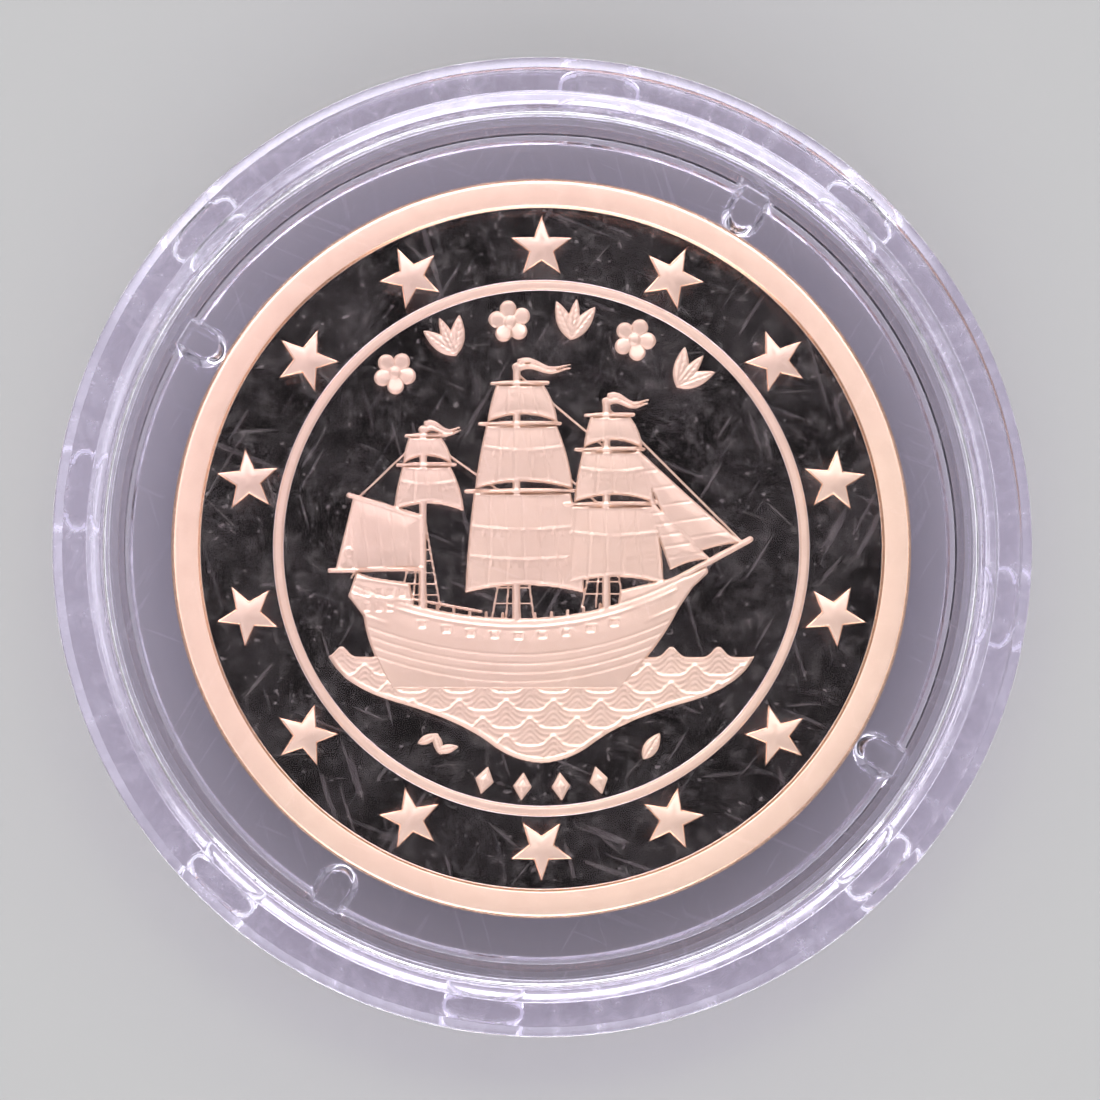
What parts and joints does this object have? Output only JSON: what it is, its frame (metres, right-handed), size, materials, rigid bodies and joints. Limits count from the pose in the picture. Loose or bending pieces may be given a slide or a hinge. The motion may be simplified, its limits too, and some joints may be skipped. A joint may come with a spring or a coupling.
{
  "type": "coin capsule",
  "caption": "Clear round two-shell coin capsule, pressed together at a spigot ring, with inward locating tabs that centre a struck copper-coloured coin under recessed windows.",
  "frame": {"origin": "centre of the capsule's underside, on its round axis, on the plane it rests on", "axes": "+Z along the capsule's axis, from the base shell towards the lid; +Y towards the top of the coin's design; +X to its right"},
  "size_m": [0.028, 0.028, 0.0053],
  "materials": {
    "clear_base": "clear injection-moulded styrene with a faint violet cast, polished windows, light hairline scratches",
    "clear_lid": "clear injection-moulded styrene with a faint violet cast, polished windows, light hairline scratches",
    "coin_metal": "copper-coloured proof strike: mirror field with frosted rim and relief"
  },
  "bodies": {
    "base": {"base_shell": "clear_base"},
    "lid": {"lid_shell": "clear_lid"},
    "coin_body": {"coin": "coin_metal"}
  },
  "joints": [
    {"name": "lid_lift", "type": "slide", "parent": "base", "child": "lid", "axis": [0, 0, 1], "range_m": [0, 0.012]},
    {"name": "coin_lift", "type": "slide", "parent": "base", "child": "coin_body", "axis": [0, 0, 1], "range_m": [0, 0.006]}
  ],
  "couplings": [
    {"joint": "coin_lift", "follows": "lid_lift", "ratio": 0.5}
  ]
}
